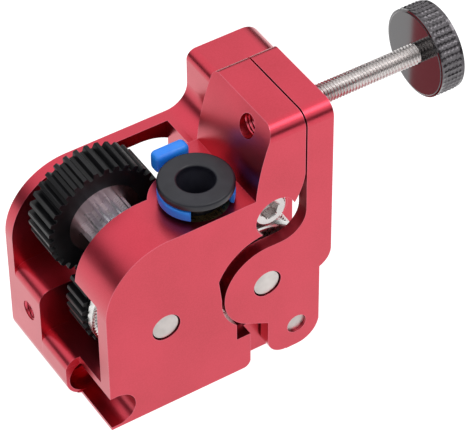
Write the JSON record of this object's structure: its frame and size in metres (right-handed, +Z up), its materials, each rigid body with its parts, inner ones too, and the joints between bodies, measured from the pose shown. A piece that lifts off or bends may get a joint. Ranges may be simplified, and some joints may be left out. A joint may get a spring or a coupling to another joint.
{
  "type": "extruder gear assembly",
  "caption": "Compact geared filament extruder: two-part housing, hinged idler arm with thumb screw, large reduction gears, paired filament wheels and a clipped tube collet.",
  "frame": {"origin": "centre of the motor bolt pattern, on the motor face", "axes": "+X right along the front face, +Y out of the motor face towards the motor, +Z up"},
  "size_m": [0.0588, 0.025, 0.0468],
  "materials": {
    "anodised_red": "bead-blasted and anodised red",
    "pom_black": "moulded, slight sheen",
    "gear_steel": "turned, with a hobbed groove, plated",
    "pinion_steel": "machined and hardened",
    "pin_steel": "ground",
    "screw_steel": "stainless",
    "bronze": "sintered",
    "brass": "turned",
    "knob_black": "anodised black",
    "collet_black": "moulded",
    "clip_blue": "moulded"
  },
  "bodies": {
    "housing": {"front_housing": "anodised_red", "rear_housing": "anodised_red", "alignment_dowels": "pin_steel", "housing_screw": "screw_steel", "drive_axle": "pin_steel", "compound_axle": "pin_steel", "pivot_pin": "pin_steel", "collet_seat": "brass", "drive_shims": "pinion_steel"},
    "arm": {"idler_arm": "anodised_red", "idler_axle": "pin_steel", "idler_shims": "pinion_steel"},
    "drive_train": {"drive_gear": "gear_steel", "driven_gear": "pom_black", "drive_bearing": "pin_steel"},
    "compound_train": {"compound_gear": "pom_black", "compound_pinion": "pinion_steel", "compound_bushing": "bronze"},
    "idler_train": {"idler_gear": "gear_steel", "idler_bearing": "pin_steel"},
    "screw": {"thumb_screw": "screw_steel"},
    "knob": {"thumb_knob": "knob_black"},
    "collet": {"collet": "collet_black"},
    "clip": {"collet_clip": "clip_blue"}
  },
  "joints": [
    {"name": "arm_swing", "type": "hinge", "parent": "housing", "child": "arm", "pos_m": [0.0138, -0.0236, -0.01475], "axis": [0, 1, 0], "range_deg": [0, 3.5]},
    {"name": "drive_spin", "type": "hinge", "parent": "housing", "child": "drive_train", "pos_m": [-0.00737, -0.0186, -0.00355], "axis": [0, 1, 0], "continuous": true},
    {"name": "compound_spin", "type": "hinge", "parent": "housing", "child": "compound_train", "pos_m": [-0.00925, -0.0116, 0.00805], "axis": [0, 1, 0], "continuous": true},
    {"name": "idler_spin", "type": "hinge", "parent": "arm", "child": "idler_train", "pos_m": [0.0089, -0.0186, -0.00405], "axis": [0, 1, 0], "continuous": true},
    {"name": "screw_travel", "type": "slide", "parent": "housing", "child": "screw", "axis": [1, 0, 0], "range_m": [-0.01305, 0]},
    {"name": "knob_turn", "type": "hinge", "parent": "screw", "child": "knob", "pos_m": [0.036, -0.0185, 0.02135], "axis": [1, 0, 0], "range_deg": [-9360, 0]},
    {"name": "collet_press", "type": "slide", "parent": "housing", "child": "collet", "axis": [0, 0, 1], "range_m": [-0.00025, 0]},
    {"name": "clip_slide", "type": "slide", "parent": "housing", "child": "clip", "axis": [0, 1, 0], "range_m": [0, 0.0024]}
  ],
  "couplings": [
    {"joint": "compound_spin", "follows": "drive_spin", "ratio": -2.75},
    {"joint": "idler_spin", "follows": "drive_spin", "ratio": -1},
    {"joint": "screw_travel", "follows": "knob_turn", "m_per_rad": 0.000079577}
  ]
}
